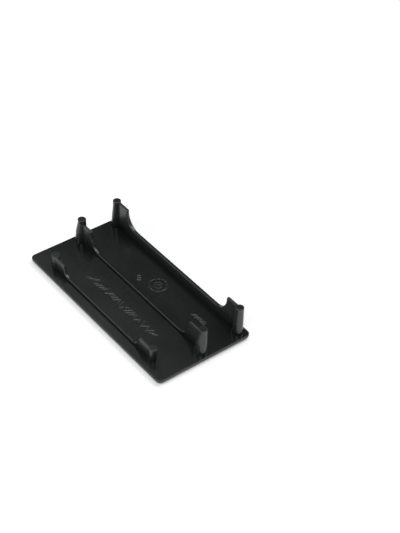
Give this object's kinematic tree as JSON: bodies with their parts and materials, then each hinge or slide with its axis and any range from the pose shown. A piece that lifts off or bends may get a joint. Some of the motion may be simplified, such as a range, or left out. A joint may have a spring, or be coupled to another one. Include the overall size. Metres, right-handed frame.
{
  "type": "profile end cap",
  "caption": "Flat rectangular push-in end cap for an aluminium profile, with ribs and tapered studs on its back.",
  "frame": {"origin": "middle of the show face, which lies on the floor", "axes": "+Z from the show face to the studs, +X along the long side, +Y towards the row with the tall rib"},
  "size_m": [0.08, 0.04, 0.0141],
  "materials": {
    "black_plastic": "spark-eroded satin"
  },
  "bodies": {
    "root": {"end_cap": "black_plastic"}
  },
  "joints": []
}
